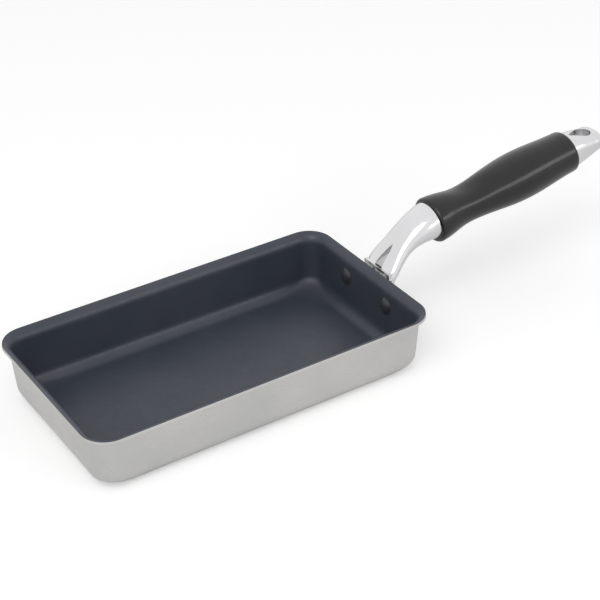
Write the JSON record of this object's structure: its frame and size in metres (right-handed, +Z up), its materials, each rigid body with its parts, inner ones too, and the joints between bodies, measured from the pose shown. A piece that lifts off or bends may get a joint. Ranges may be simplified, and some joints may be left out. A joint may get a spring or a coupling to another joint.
{
  "type": "tamagoyaki pan",
  "caption": "Rectangular rolled-omelette pan with a flared rim, non-stick lining, riveted cast neck and a moulded grip with a hanging cap.",
  "frame": {"origin": "centre of the flat base, on the surface that the pan stands on", "axes": "+X towards the handle, +Z up, +Y across the pan"},
  "size_m": [0.3257, 0.105, 0.0716],
  "materials": {
    "satin_steel": "satin",
    "nonstick": "satin",
    "coated_rivet": "satin",
    "polished_metal": "polished",
    "black_grip": "gloss",
    "rod_steel": "satin"
  },
  "bodies": {
    "root": {"pan_body": "satin_steel", "nonstick_lining": "nonstick", "rivets": "coated_rivet", "handle_bracket": "polished_metal", "grip": "black_grip", "tie_rod": "rod_steel", "lock_washer": "rod_steel", "tail_cap": "polished_metal"}
  },
  "joints": []
}
